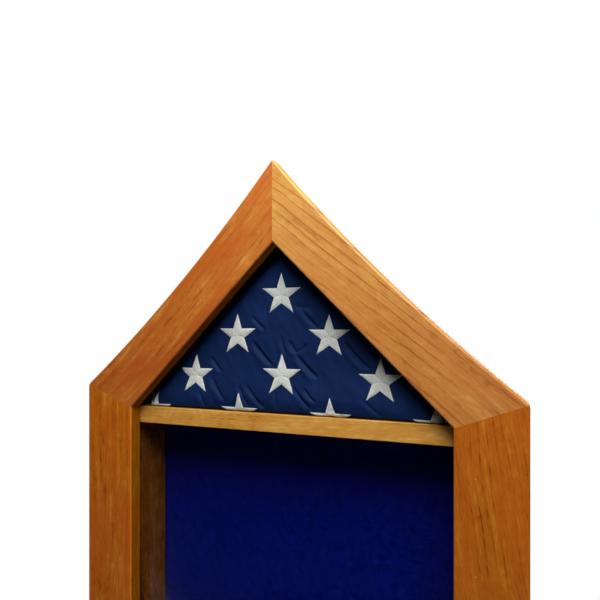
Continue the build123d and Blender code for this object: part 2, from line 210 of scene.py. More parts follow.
def late_wood_lines(graph, grain_noise, local, seed, gap, log_tilt):
    """Dark late wood of the growth rings. They are rings round a log's middle, which runs close to the face
    and at a small angle to it, so they cut the face in long, flat arches."""
    axes = graph.add("ShaderNodeSeparateXYZ", i0=local).outputs
    across = graph.math("ADD", axes[2], seed * SEED_CENTRE)
    for noise, strength in ((grain_noise(3.5, 9.0, 2.0), 0.045), (grain_noise(18.0, 50.0, 2.0), 0.005)):
        across = graph.math("MULTIPLY_ADD", centred(graph, noise), strength, across)
    behind = graph.math("MULTIPLY_ADD", axes[0], log_tilt, graph.math("ADD", axes[1], LOG_FORWARD))
    radial = graph.add("ShaderNodeCombineXYZ", i0=0.0, i1=behind, i2=across)
    radius = graph.vector("LENGTH", radial.outputs[0])
    rings_out = graph.math("DIVIDE", radius, gap)
    ring = graph.math("FRACT", graph.math("MULTIPLY_ADD", grain_noise(1.5, 24.0, 2.0), 1.6, rings_out))
    none, some, full = (0, 0, 0, 1), (RING_SOFTNESS, RING_SOFTNESS, RING_SOFTNESS, 1), (1, 1, 1, 1)
    lines = graph.ramp(ring, [(0.0, none), (0.7, some), (0.92, full), (1.0, none)])
    return graph.math("MULTIPLY", lines, graph.spread(grain_noise(9.0, 26.0, 2.0), 0.36, 0.62, 0.15, 1.0))


def wood_material(
    name, grain, tones, seed, ring_gap=0.011, ring_weight=0.5, log_tilt=0.10, red_share=0.35, painted_sheen=0.0,
    side_tint_and_light=None, roughness=0.46, shine=0.4, dashes=0.45, figure=0.8, mottle=1.0, edge_highlight_share=0.8,
):
    """Flat-sawn wood: growth rings, streaks and fibres along the grain, pores and redder patches. The rounded
    edges are painted lighter as a highlight, the upper rails may be painted paler towards the peak as a
    sheen, and the sides may get a tint of their own with painted shade or highlight."""
    light, middle, dark, red = tones
    material, graph, output = new_material(name)
    place = object_place(graph)
    moved = graph.vector("ADD", place, tuple(seed * shift for shift in SEED_SHIFT))
    board = graph.add("ShaderNodeMapping", i0=moved, rotation=(0.0, grain, 0.0)).outputs[0]
    local = graph.add("ShaderNodeMapping", i0=place, rotation=(0.0, grain, 0.0)).outputs[0]
    grain_noise = grain_of(graph, board)
    late_wood = late_wood_lines(graph, grain_noise, local, seed, ring_gap, log_tilt)

    fibre = grain_noise(14.0, 560.0, 4.0, 0.6)
    layers = (
        (grain_noise(8.0, 120.0, 4.0, 0.6, 0.3), figure),
        (grain_noise(34.0, 260.0, 2.0), dashes),
        (grain_noise(110.0, 520.0, 2.0), 0.75 * mottle),
        (grain_noise(50.0, 80.0, 3.0, 0.6, 0.6), 0.85 * mottle),
        (fibre, 0.55),
    )
    tone = 0.55
    for noise, strength in layers:
        tone = graph.math("MULTIPLY_ADD", centred(graph, noise), strength, tone)
    tone = graph.math("MULTIPLY_ADD", late_wood, -0.5 * ring_weight, tone)
    base = graph.ramp(tone, [(0.10, dark), (0.48, middle), (0.86, light)])
    patch = grain_noise(9.0, 30.0, 3.0, 0.5, 0.4)
    base = graph.mix(graph.spread(patch, 0.42, 0.62, 0.0, red_share), base, red)
    pore = graph.spread(grain_noise(80.0, 800.0, 2.0, 0.6), 0.58, 0.72)
    base = graph.mix(graph.math("MULTIPLY", pore, PORE_SHARE), base, dark)

    # painted sheen: blend the upper rails towards the paler tint with height, in place of the light's sheen
    # near the peak
    if painted_sheen:
        height = graph.add("ShaderNodeSeparateXYZ", i0=place).outputs[2]
        low, high = SHOULDER_Z + PAINTED_SHEEN_MARGIN, PEAK_Z - PAINTED_SHEEN_MARGIN
        base = graph.mix(graph.spread(height, low, high, 0.0, painted_sheen), base, graph.tinted(base, PAINTED_SHEEN_TINT))
    normal = graph.add("ShaderNodeNewGeometry").outputs["Normal"]
    front = graph.math("ABSOLUTE", graph.add("ShaderNodeSeparateXYZ", i0=normal).outputs[1])
    # painted light on the sides: the faces turned away from the front are painted darker as shade, on the
    # right rail lighter as highlight
    if side_tint_and_light:
        base = graph.mix(graph.spread(front, 0.2, 0.5, 1.0, 0.0), base, graph.tinted(base, side_tint_and_light))
    # painted highlight: the rounded edges, between the flat face and the sides, are painted lighter
    slanted, not_flat = graph.spread(front, 0.3, 0.6), graph.spread(front, 0.85, 0.99, 1.0, 0.0)
    edge_highlight = graph.math("MULTIPLY", graph.math("MULTIPLY", slanted, not_flat), edge_highlight_share)
    base = graph.mix(edge_highlight, base, graph.tinted(base, PAINTED_EDGE_HIGHLIGHT))

    rough = graph.math("MULTIPLY_ADD", fibre, 0.14, roughness - 0.07)
    open_grain = graph.math("MULTIPLY_ADD", pore, -0.6, fibre)
    relief = graph.math("MULTIPLY", open_grain, graph.math("POWER", front, 4.0))
    gloss = graph.spread(front, 0.1, 0.6, 0.1 * shine, shine)
    finish_surface(graph, output, base, rough, relief, GRAIN_RELIEF, specular_ior_level=gloss)
    return material


# ---------------------------------------------------------------- other materials
FELT_TONES = (colour(1, 5, 64), colour(4, 15, 104), colour(12, 31, 150))
CLOTH_TONES = (colour(8, 28, 69), colour(12, 36, 81), colour(17, 44, 94))
THREAD_TONES = (colour(214, 215, 204), colour(236, 237, 228), colour(248, 248, 242))
WEAVE_SCALE = 1600.0 / 6.3  # the weave repeats every 1.24 mm
STITCH_RIDGES = 1.9  # ridges of thread in each millimetre of the stitch attribute


def felt_material():
    """Short-napped felt: soft fibres in every direction, matte."""
    material, graph, output = new_material("blue_felt")
    place = object_place(graph)
    fuzz = graph.noise(place, 700.0, 4.0, 0.7)
    tufts = graph.noise(place, 300.0, 2.0, 0.6)
    clumps = graph.noise(place, 130.0, 4.0, 0.65)
    share = graph.math("MULTIPLY_ADD", clumps, 0.4, graph.math("MULTIPLY", fuzz, 0.25))
    share = graph.math("MULTIPLY_ADD", tufts, 0.25, share)
    base = graph.ramp(share, list(zip((0.32, 0.47, 0.66), FELT_TONES)))
    bump = graph.math("ADD", fuzz, clumps)
    finish_surface(
        graph, output, base, 0.95, bump, 0.0003,
        specular_ior_level=0.0, sheen_weight=0.03, sheen_roughness=0.5, sheen_tint=colour(20, 40, 170),
    )
    return material


def flag_material():
    """Fine plain-woven navy cloth."""
    material, graph, output = new_material("navy_cloth")
    place = object_place(graph)
    across = graph.add("ShaderNodeTexWave", {"bands_direction": "X"}, vector=place, scale=WEAVE_SCALE)
    upward = graph.add("ShaderNodeTexWave", {"bands_direction": "Z"}, vector=place, scale=WEAVE_SCALE)
    weave = graph.math("MULTIPLY", across.outputs["Fac"], upward.outputs["Fac"])
    cloud = graph.noise(place, 26.0, 3.0, 0.55)
    share = graph.math("MULTIPLY_ADD", weave, 0.25, graph.math("MULTIPLY", cloud, 0.75))
    base = graph.ramp(share, list(zip((0.2, 0.5, 0.8), CLOTH_TONES)))
    finish_surface(
        graph, output, base, 0.7, weave, 0.00004,
        specular_ior_level=0.12, sheen_weight=0.05, sheen_roughness=0.3, sheen_tint=colour(60, 90, 170),
    )
    return material


def thread_material():
    """Off-white satin stitching: the threads' run is kept in the mesh's own stitch attribute."""
    material, graph, output = new_material("star_thread")
    run = graph.add("ShaderNodeAttribute", {"attribute_name": "stitch"})
    line = graph.math("MULTIPLY", run.outputs["Fac"], 2 * math.pi * STITCH_RIDGES)
    ridge = graph.math("SINE", line)
    place = object_place(graph)
    cloud = graph.noise(place, 420.0, 3.0, 0.6)
    share = graph.math("MULTIPLY_ADD", ridge, 0.12, cloud)
    base = graph.ramp(share, list(zip((0.25, 0.5, 0.8), THREAD_TONES)))
    finish_surface(graph, output, base, 0.6, ridge, 0.00010, specular_ior_level=0.3, sheen_weight=0.15)
    return material


def glass_material():
    """Clear picture glass with a faint, slightly uneven reflection."""
    material, graph, output = new_material("clear_glass")
    clear = graph.add("ShaderNodeBsdfTransparent", color=(0.985, 0.992, 0.99, 1.0))
    mirror = graph.add("ShaderNodeBsdfGlossy", color=(1, 1, 1, 1), roughness=0.02)
    slant = graph.add("ShaderNodeFresnel", ior=1.45)
    dust = graph.noise(object_place(graph), 9.0, 2.0)
    share = graph.math("MULTIPLY", slant.outputs[0], graph.spread(dust, 0.2, 0.8, 0.06, 0.10))
    face = graph.add("ShaderNodeMixShader", i0=share, i1=clear.outputs[0], i2=mirror.outputs[0])
    graph.feed(output, "surface", face.outputs[0])
    return material


def metal_material(name, light, dark, roughness):
    """Plated metal with fine brushing and dulled patches."""
    material, graph, output = new_material(name)
    place = object_place(graph)
    brushed_place = graph.add("ShaderNodeMapping", i0=place, scale=(300.0, 300.0, 2600.0)).outputs[0]
    brushed = graph.noise(brushed_place, 1.0, 3.0)
    dull = graph.noise(place, 160.0, 3.0, 0.6)
    base = graph.mix(graph.spread(dull, 0.35, 0.75), light, dark)
    polished = graph.math("MULTIPLY_ADD", brushed, 0.12, roughness - 0.18)
    rough = graph.math("MULTIPLY_ADD", dull, 0.25, polished)
    finish_surface(graph, output, base, rough, brushed, 0.00002, metallic=1.0)
    return material


def plain_board_material(name, light, dark, grain_scale, roughness, bump_depth):
    """Pressed board or card: mottled, with short fibres."""
    material, graph, output = new_material(name)
    place = object_place(graph)
    fibres = graph.noise(place, grain_scale, 5.0, 0.7)
    patches = graph.noise(place, 11.0, 3.0, 0.5)
    share = graph.math("MULTIPLY_ADD", patches, 0.5, graph.math("MULTIPLY", fibres, 0.5))
    base = graph.ramp(share, [(0.3, dark), (0.7, light)])
    finish_surface(graph, output, base, roughness, fibres, bump_depth, specular_ior_level=0.3)
    return material


def rubber_material():
    """Matte black rubber."""
    material, graph, output = new_material("bumper_rubber")
    grit = graph.noise(object_place(graph), 1500.0, 3.0)
    base = graph.mix(grit, colour(22, 22, 23), colour(44, 44, 45))
    finish_surface(graph, output, base, 0.7, grit, 0.00005)
    return material


def filler_material():
    """Dry wood filler, a little paler than the wood."""
    material, graph, output = new_material("brad_filler")
    grit = graph.noise(object_place(graph), 2500.0, 3.0)
    base = graph.mix(grit, colour(224, 160, 92), colour(200, 130, 66))
    finish_surface(graph, output, base, 0.85, grit, 0.0001)
    return material


def set_material(node, material):
    """Give a CAD piece its one material."""
    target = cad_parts[node]
    target.data.materials.clear()
    target.data.materials.append(material)


RISING = SLOPE  # grain directions, turned from +X towards +Z
FALLING = -SLOPE
UPRIGHT = math.pi / 2
LEVEL = 0.0

# light, middle and dark tones of each piece of wood, and its redder patches
CHERRY = (colour(203, 126, 36), colour(183, 98, 15), colour(140, 64, 5), colour(186, 84, 16))
WARM_CHERRY = (colour(200, 126, 52), colour(181, 98, 30), colour(138, 64, 12), colour(176, 80, 20))
# the right rail's wood is paler: partly its own tone, partly a painted sheen for the light glancing off its
# grain
PALE_SHEEN_CHERRY = (colour(208, 149, 77), colour(191, 124, 53), colour(153, 85, 31), colour(184, 103, 43))
RUSSET_CHERRY = (colour(196, 119, 32), colour(175, 93, 14), colour(132, 59, 4), colour(176, 80, 13))
BOX_CHERRY = (colour(140, 86, 34), colour(110, 62, 14), colour(72, 34, 4), colour(108, 50, 12))
# painted shadow: the glazing beads' near-black wood stands in for the dark line in the gap behind the frame's
# lip
BEAD_SHADOW_TONES = (colour(62, 34, 12), colour(42, 22, 6), colour(24, 11, 3), colour(44, 20, 6))
GOLDEN_SHELF = (colour(232, 176, 90), colour(214, 151, 62), colour(176, 110, 34), colour(206, 134, 50))
BEECH = (colour(226, 190, 150), colour(206, 166, 122), colour(170, 128, 86), colour(204, 156, 112))
# tints of the sides: painted highlight on the right rail's sides, painted shade on the shelf's, and on the
# other frame members darker, greener sides that are partly painted shade and partly the cut face's own tone
OLIVE_SHADED_SIDE = (0.64, 0.84, 0.50, 1.0)
BROWN_SHADED_SIDE = (0.80, 0.86, 0.50, 1.0)
PAINTED_HIGHLIGHT_SIDE = (1.15, 1.25, 1.3, 1.0)
SHADED_SIDE = (0.7, 0.7, 0.7, 1.0)


def dress_wood():
    """Each board gets its own piece of wood: the grain follows the member."""
    frame_members = (
        ("face_rail_upper_left", RISING, WARM_CHERRY, 1.3,
         {"ring_weight": 0.45, "red_share": 0.8, "painted_sheen": 0.75, "side_tint_and_light": BROWN_SHADED_SIDE,
          "figure": 1.1, "mottle": 0.75}),
        ("face_rail_upper_right", FALLING + 0.10, PALE_SHEEN_CHERRY, 2.9,
         {"ring_weight": 1.0, "red_share": 0.45, "painted_sheen": 1.0, "side_tint_and_light": PAINTED_HIGHLIGHT_SIDE, "log_tilt": 0.06,
          "dashes": 0.3, "mottle": 0.75}),
        ("face_stile_left", UPRIGHT + 0.01, CHERRY, 4.1,
         {"ring_weight": 0.45, "red_share": 0.6, "side_tint_and_light": OLIVE_SHADED_SIDE, "shine": 0.2,
          "figure": 1.1, "mottle": 0.85}),
        ("face_stile_right", UPRIGHT + 0.15, RUSSET_CHERRY, 7.7,
         {"ring_weight": 0.75, "log_tilt": 0.03, "ring_gap": 0.009, "shine": 0.2, "dashes": 0.25,
          "figure": 0.75, "mottle": 0.8}),
        ("face_rail_bottom", LEVEL + 0.02, CHERRY, 5.2, {"ring_weight": 0.5}),
    )
    for node, grain, tones, seed, more in frame_members:
        set_material(node, wood_material("wood_" + node, grain, tones, seed, **more))
    sides = {"left": UPRIGHT, "right": UPRIGHT, "upper_left": RISING, "upper_right": FALLING, "bottom": LEVEL}
    for number, (side, grain) in enumerate(sides.items()):
        seed = 1.7 + 1.9 * number
        board = wood_material("wood_box_" + side, grain, BOX_CHERRY, seed, roughness=0.65, shine=0.1)
        set_material("box_board_" + side, board)
        # painted shadow: the beads are near black
        bead = wood_material("shadowed_bead_" + side, grain, BEAD_SHADOW_TONES, 2.3 + 1.1 * number)
        set_material("glazing_bead_" + side, bead)
    shelf = wood_material(
        "wood_shelf", LEVEL + 0.02, GOLDEN_SHELF, 9.1, ring_gap=0.007, ring_weight=0.3, dashes=0.3,
        side_tint_and_light=SHADED_SIDE, mottle=0.9, edge_highlight_share=0.0,
    )
    set_material("shelf", shelf)
    set_material("mitre_biscuits", wood_material("wood_biscuit", 0.6, BEECH, 2.2))


def dress_hardware():
    """Materials of everything that isn't wood, felt or cloth."""
    brass = metal_material("button_brass", colour(222, 180, 98), colour(160, 116, 52), 0.36)
    steel = metal_material("zinc_steel", colour(206, 207, 208), colour(150, 151, 154), 0.34)
    nickel = metal_material("nickel_steel", colour(216, 214, 208), colour(166, 162, 154), 0.26)
    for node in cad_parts:
        if node.startswith("turn_button"):
            set_material(node, brass)
        elif node.startswith("hanger_"):
            set_material(node, nickel if node != "hanger_screws" else steel)
    for node in ("frame_brads", "shelf_screws"):
        set_material(node, steel)
    set_material("wall_bumpers", rubber_material())
    set_material("brad_fillers", filler_material())
    set_material("glass_pane", glass_material())
    panel = plain_board_material("hardboard", colour(134, 94, 60), colour(98, 64, 38), 700.0, 0.6, 0.00008)
    set_material("back_panel", panel)
    card = plain_board_material("grey_card", colour(196, 192, 182), colour(160, 156, 146), 500.0, 0.9, 0.0001)
    set_material("backing_board", card)


# ---------------------------------------------------------------- mesh helpers
def new_object(name, vertices, faces, material, smooth=True):
    """Object with a mesh of these vertices and faces."""
    mesh = bpy.data.meshes.new(name)
    mesh.from_pydata([tuple(v) for v in vertices], [], [tuple(f) for f in faces])
    mesh.update()
    made = bpy.data.objects.new(name, mesh)
    bpy.context.scene.collection.objects.link(made)
    made.data.materials.append(material)
    if smooth:
        mesh.polygons.foreach_set("use_smooth", [True] * len(mesh.polygons))
    return made


def points_of(made):
    """The mesh's points, one row each."""
    co = np.zeros(len(made.data.vertices) * 3)
    made.data.vertices.foreach_get("co", co)
    return co.reshape(-1, 3)


def set_points(made, points):
    made.data.vertices.foreach_set("co", points.astype(np.float32).ravel())
    made.data.update()


def apply_modifier(made, modifier):
    with bpy.context.temp_override(object=made, active_object=made, selected_objects=[made]):
        bpy.ops.object.modifier_apply(modifier=modifier.name)


# ---------------------------------------------------------------- folded flag
STAR_RADIUS = 27.0 * MM
STAR_PLACES = (  # X of each star and its height above the shoulders, in mm
    (1.0, 117.5),
    (-59.6, 67.9), (62.7, 66.3),
    (-120.7, 16.1), (1.8, 18.3), (124.3, 15.1),
    (-185.0, -33.5), (-56.4, -31.7), (64.4, -32.7), (186.5, -33.5),
)
CREASES = (  # start and end of each sharp fold in the cloth, with its width and depth, in mm
    (29.0, 97.0, 48.0, 77.0, 2.2, 2.0),
    (-37.0, 89.0, -22.0, 75.0, 1.9, 1.6),
    (-36.0, 58.0, -12.0, 31.0, 2.3, 3.0),
    (22.0, 43.0, 47.0, 18.0, 2.3, 3.2),
    (12.0, 60.0, 21.0, 46.0, 2.2, 2.0),
    (84.0, 57.0, 110.0, 30.0, 2.2, 2.9),
    (17.0, 5.0, 38.0, -19.0, 2.0, 2.5),
    (31.0, 3.0, 46.0, -12.0, 1.8, 1.8),
    (-46.0, 4.0, -22.0, -22.0, 2.0, 2.4),
    (-56.0, 2.0, -44.0, -20.0, 2.0, 1.9),
    (-97.0, 13.0, -78.0, -15.0, 2.3, 2.4),
    (-97.0, 38.0, -84.0, 22.0, 2.1, 2.0),
    (-114.0, -5.0, -106.0, -25.0, 2.2, 1.5),
    (1.0, 66.0, 6.0, 46.0, 2.0, 1.5),
    (-6.0, -3.0, -4.0, -22.0, 2.4, 1.2),
    (22.0, 47.0, 34.0, 57.0, 2.2, 1.3),
    (18.0, 104.0, 40.0, 101.0, 3.0, 1.2),
    (104.0, -6.0, 126.0, -24.0, 2.2, 1.0),
    (66.0, -20.0, 84.0, -28.0, 2.2, 0.9),
)
FOLD_RADIUS = 9.0 * MM  # roll of the cloth at the bundle's edges
MOVE_CAP = 2.5 * MM  # no point moves further than this in the simulation
RIDGE_SHARE = 0.4  # height of a crease's ridge, as a share of its depth
SAG = 4.5 * MM  # the bundle sags forward towards its base, nearly to the glass
GLASS_GAP = 0.7 * MM
TURN_RADIUS = 5.0 * MM  # turn of the cloth under the front of the base
SAG_HEIGHT = 60.0 * MM
SAG_REACH = (40.0 * MM, 25.0 * MM)  # depth behind the front at which the sag ends, and over which it fades
FOLD_REACH = (12.0 * MM, 10.0 * MM)  # and those of the folds, waves and roll
WAVES = 14
WAVE_STEEPNESS = 0.0028
WAVE_LENGTHS = (10, 30)  # in mm
WAVE_TURN = (0.9, 0.5)  # middle and scatter of the waves' directions, in radians
ROLL_WIDTH = 24.0 * MM  # the front falls away within this distance of the slanting sides
ROLL_STRENGTH = 0.65
ROLL_POWER = 6  # the higher, the squarer the roll along the front of the base
MESH_STEP = 3.0 * MM
FINE_LAYER = 7.0 * MM  # faces this close to the front are split once more
FINEST_LAYER = 5.0 * MM  # and these again, where they are near a crease
WELD_DISTANCE = 0.01 * MM
OUTLINE_SLACK = 0.3 * MM  # how far a point of the cloth may swell sideways or upward
SIMULATION_FRAMES = 20
CLOTH_SETTINGS = {
    "quality": 5,
    "mass": 0.15,
    "tension_stiffness": 15,
    "compression_stiffness": 15,
    "shear_stiffness": 5,
    "bending_stiffness": 0.02,
    "vertex_group_bending": "stiff",
    "bending_stiffness_max": 12.0,
    "use_pressure": True,
    "uniform_pressure_force": 0.6,
}
ARM_STEPS = 22  # faces along each arm of a star
ARM_ROWS = 10  # and across it
STITCH_RISE = 0.75  # height of the stitching above the cloth, in mm, on top of the backing's
BACKING_RISE = 0.15
STITCH_SLANT = 0.9  # how much the threads slant along an arm
STAR_ARMS = 5
LOOK_FROM = 20.0  # the cloth is looked for from this far outside it, in mm
SLIVER = 0.001 * MM  # faces thinner than this are dissolved
FLAG_FRONT = FLAG_LOW.y
FLAG_BASE = FLAG_LOW.z


def star_centres():
    """X and Z of each star."""
    for x, height in STAR_PLACES:
        yield Vector((x * MM, SHOULDER_Z + height * MM))


def flag_bundle(material):
    """The bundle: the CAD solid's shape remeshed, swollen as cloth, then creased between the stars."""
    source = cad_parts["folded_flag"]
    made = bpy.data.objects.new("flag_cloth", source.data.copy())
    bpy.context.scene.collection.objects.link(made)
    made.data.materials.clear()
    made.data.materials.append(material)
    weld = made.modifiers.new("weld", "WELD")
    weld.merge_threshold = WELD_DISTANCE
    apply_modifier(made, weld)
    remesh = made.modifiers.new("remesh", "REMESH")
    remesh.mode = "VOXEL"
    remesh.voxel_size = MESH_STEP
    apply_modifier(made, remesh)
    squarer_roll(made)
    swell(made)
    finer = made.modifiers.new("finer", "SUBSURF")
    finer.levels = 1
    apply_modifier(made, finer)
    refine_front(made)
    crease(made)
    made.data.polygons.foreach_set("use_smooth", [True] * len(made.data.polygons))
    return made


def split_edges(made, wanted):
    """Split the edges whose two ends are both wanted."""
    mesh = bmesh.new()
    mesh.from_mesh(made.data)
    mesh.verts.ensure_lookup_table()
    edges = [edge for edge in mesh.edges if wanted[edge.verts[0].index] and wanted[edge.verts[1].index]]
    bmesh.ops.subdivide_edges(mesh, edges=edges, cuts=1, use_grid_fill=True)
    mesh.to_mesh(made.data)
    mesh.free()


def refine_front(made):
    """Split the faces at the front once more, and those near a crease twice."""
    split_edges(made, points_of(made)[:, 1] < FLAG_FRONT + FINE_LAYER)
    points = points_of(made)
    near = np.zeros(len(points), dtype=bool)
    for row in CREASES:
        share, side = along_crease(points[:, 0], points[:, 2], row)
        width = row[4] * MM
        near |= (share > -0.1) & (share < 1.1) & (side > -3.5 * width) & (side < 2.5 * width)
    split_edges(made, near & (points[:, 1] < FLAG_FRONT + FINEST_LAYER))


def swell(made):
    """Cloth simulation: the layers inside press outward, and the cloth swells between the stitched stars,
    which stay stiff."""
    before = points_of(made)
    stiff = made.vertex_groups.new(name="stiff")
    for index, point in enumerate(before):
        away = min(math.hypot(point[0] - star.x, point[2] - star.y) for star in star_centres())
        share = min(1.0, max(0.0, (away - 0.7 * STAR_RADIUS) / (0.4 * STAR_RADIUS)))
        stiff.add([index], 1 - share, "REPLACE")
    cloth = made.modifiers.new("cloth", "CLOTH")
    for key, value in CLOTH_SETTINGS.items():
        setattr(cloth.settings, key, value)
    cloth.settings.effector_weights.gravity = 0.0
    scene = bpy.context.scene
    for step in range(1, SIMULATION_FRAMES + 1):
        scene.frame_set(step)
    apply_modifier(made, cloth)
    made.vertex_groups.clear()
    scene.frame_set(1)
    moved = points_of(made) - before
    length = np.linalg.norm(moved, axis=1, keepdims=True)
    after = before + moved * np.minimum(1.0, MOVE_CAP / np.maximum(length, 1e-9))
    widest = abs(before[:, 0]) + OUTLINE_SLACK
    after[:, 0] = np.sign(after[:, 0]) * np.minimum(abs(after[:, 0]), widest)
    after[:, 1] = np.minimum(after[:, 1], FLAG_HIGH.y)
    after[:, 2] = np.clip(after[:, 2], FLAG_BASE, before[:, 2] + OUTLINE_SLACK)
    set_points(made, after)


def soft_step(value):
    """Smooth rise from 0 to 1."""
    value = np.clip(value, 0, 1)
    return value * value * (3 - 2 * value)


def along_crease(x, z, row):
    """Share of the way along a crease, and distance from it, positive above it. The crease bows downward."""
    x0, z0, x1, z1 = (value * MM for value in row[:4])
    start = np.array((x0, SHOULDER_Z + z0))
    run = np.array((x1 - x0, z1 - z0))
    length = np.linalg.norm(run)
    run = run / length
    along = (x - start[0]) * run[0] + (z - start[1]) * run[1]
    side = (z - start[1]) * run[0] - (x - start[0]) * run[1]
    share = along / length
    return share, side + 0.03 * length * np.sin(math.pi * np.clip(share, 0, 1))


def groove(x, z, row):
    """How far one crease pushes the cloth back. It drops steeply from above and climbs more gently to a
    low ridge below it."""
    share, side = along_crease(x, z, row)
    width, depth = row[4] * MM, row[5] * MM
    fade = soft_step((share + 0.15) / 0.4) * soft_step((1.12 - share) / 0.3)
    reach = np.where(side > 0, 0.9 * width, 1.1 * width)
    valley = np.exp(-((side / reach) ** 2))
    ridge = np.exp(-(((side + 2.9 * width) / (1.6 * width)) ** 2))
    return fade * depth * (valley - RIDGE_SHARE * ridge)


def crease(made):
    """Pinched folds, soft waves all over, the roll towards the slanting sides, and the sag."""
    points = points_of(made)
    x, y, z = points[:, 0], points[:, 1], points[:, 2]
    push = np.zeros(len(points))
    for row in CREASES:
        push += groove(x, z, row)
    rng = np.random.default_rng(5)
    for _ in range(WAVES):
        turn = rng.normal(*WAVE_TURN)
        length = rng.uniform(*WAVE_LENGTHS) * MM
        wave = (x * math.cos(turn) + z * math.sin(turn)) * 2 * math.pi / length
        push += WAVE_STEEPNESS * length * np.sin(wave + rng.uniform(0, 6))
    apex = FLAG_HIGH.z + 0.4 * FOLD_RADIUS
    inside = (apex - z - np.abs(x)) / math.sqrt(2)  # distance in from the slanting sides
    push += ROLL_STRENGTH * np.clip(ROLL_WIDTH - inside, 0, None) ** 2 / ROLL_WIDTH
    facing = np.clip((FLAG_FRONT + FOLD_REACH[0] - y) / FOLD_REACH[1], 0, 1)
    sag = SAG * soft_step((FLAG_BASE + SAG_HEIGHT - z) / SAG_HEIGHT) * soft_step(inside / ROLL_WIDTH)
    sag *= soft_step((FLAG_FRONT + SAG_REACH[0] - y) / SAG_REACH[1])
    points[:, 1] = np.maximum(y + push * facing - sag, GLASS_BACK + GLASS_GAP)
    set_points(made, points)


def squarer_roll(made):
    """Fill the long roll along the front of the base, so that it turns under more tightly."""
    points = points_of(made)
    back = np.maximum(FLAG_FRONT + FOLD_RADIUS - points[:, 1], 0)
    down = np.maximum(FLAG_BASE + FOLD_RADIUS - points[:, 2], 0)
    rolled = (back > 0) & (down > 0)
    reach = np.hypot(back, down) + 1e-9
    corner = (back ** ROLL_POWER + down ** ROLL_POWER) ** (1 / ROLL_POWER) + 1e-9
    stretch = np.where(rolled, reach / corner, 1.0)
    points[:, 1] = np.where(rolled, FLAG_FRONT + FOLD_RADIUS - back * stretch, points[:, 1])
    points[:, 2] = np.where(rolled, FLAG_BASE + FOLD_RADIUS - down * stretch, points[:, 2])
    set_points(made, points)


def drape(tree, x, height):
    """Place and outward direction on the finished cloth of a point of the flag's front. Below the turn
    the cloth goes round and under the base."""
    turn_top = FLAG_BASE + TURN_RADIUS
    axis = Vector((x, FLAG_FRONT - SAG + TURN_RADIUS, turn_top))
    angle = (turn_top - height) / TURN_RADIUS
    if angle <= 0:
        spot, outward = Vector((x, FLAG_FRONT, height)), Vector((0, -1, 0))
    elif angle < math.pi / 2:
        outward = Vector((0, -math.cos(angle), -math.sin(angle)))
        spot = axis + outward * TURN_RADIUS
    else:
        under = (angle - math.pi / 2) * TURN_RADIUS
        spot, outward = Vector((x, axis.y + under, FLAG_BASE)), Vector((0, 0, -1))
    place, normal, _, _ = tree.ray_cast(spot + outward * LOOK_FROM * MM, -outward)
    if place is None:
        place, normal, _, _ = tree.find_nearest(spot)
    return place, normal


def flat_point(angle, radius):
    """Point of a star lying flat, from its centre."""
    return Vector((math.cos(angle), math.sin(angle))) * radius


def stitched_point(tree, spot, along, side):
    """A point of the stitching on the cloth: raised, but thin at the arm's rims and ends, and underneath."""
    place, normal = drape(tree, spot.x, spot.y)
    rim = 1 - abs(2 * side - 1) ** 3
    rise = BACKING_RISE + STITCH_RISE * rim * min(1.0, 0.25 + 3.0 * along) * min(1.0, 4 * (1 - along) + 0.1)
    if normal.z < -0.9:
        rise = BACKING_RISE
    raised = place + normal * rise * MM
    raised.y = max(raised.y, GLASS_BACK + 0.1 * MM)
    return raised


def star_arm(tree, centre, angle):
    """Points of one raised kite from the star's centre to its tip, and the stitch value of each."""
    inner = STAR_RADIUS * math.sin(math.radians(18)) / math.sin(math.radians(54))  # a regular star's waist
    half_turn = math.pi / STAR_ARMS
    tip = flat_point(angle, STAR_RADIUS)
    left, right = flat_point(angle + half_turn, inner), flat_point(angle - half_turn, inner)
    waist = left.dot(tip) / STAR_RADIUS / STAR_RADIUS  # share of the arm's length at which it is widest
    points, stitch = [], []
    for i in range(ARM_STEPS + 1):
        along = i / ARM_STEPS
        if along < waist:
            edge_a, edge_b = left * (along / waist), right * (along / waist)
        else:
            to_tip = (along - waist) / (1 - waist)
            edge_a, edge_b = left.lerp(tip, to_tip), right.lerp(tip, to_tip)
        width = (edge_a - edge_b).length / MM
        for j in range(ARM_ROWS + 1):
            side = j / ARM_ROWS
            points.append(stitched_point(tree, edge_a.lerp(edge_b, side) + centre, along, side))
            stitch.append(width * (side - 0.5) + along * STAR_RADIUS / MM * STITCH_SLANT)
    return points, stitch


def grid_faces(columns, rows, first=0):
    """Faces of a grid of points that are listed row by row."""
    line = columns + 1
    for j in range(rows):
        for i in range(columns):
            a = first + j * line + i
            yield a, a + 1, a + line + 1, a + line


def embroidered_stars(cloth, material):
    """Five stitched arms a star, draped on the finished cloth."""
    bpy.context.view_layer.update()
    tree = BVHTree.FromObject(cloth, bpy.context.evaluated_depsgraph_get())
    vertices, faces, stitch = [], [], []
    for centre in star_centres():
        for arm in range(STAR_ARMS):
            points, values = star_arm(tree, centre, math.radians(90 + 360 / STAR_ARMS * arm))
            faces += grid_faces(ARM_ROWS, ARM_STEPS, len(vertices))
            vertices += points
            stitch += values
    made = new_object("flag_stars", vertices, faces, material)
    attribute = made.data.attributes.new("stitch", "FLOAT", "POINT")
    attribute.data.foreach_set("value", stitch)
    clean = bmesh.new()
    clean.from_mesh(made.data)
    bmesh.ops.dissolve_degenerate(clean, dist=SLIVER, edges=clean.edges)
    bmesh.ops.recalc_face_normals(clean, faces=clean.faces)
    clean.to_mesh(made.data)
    clean.free()
    return made


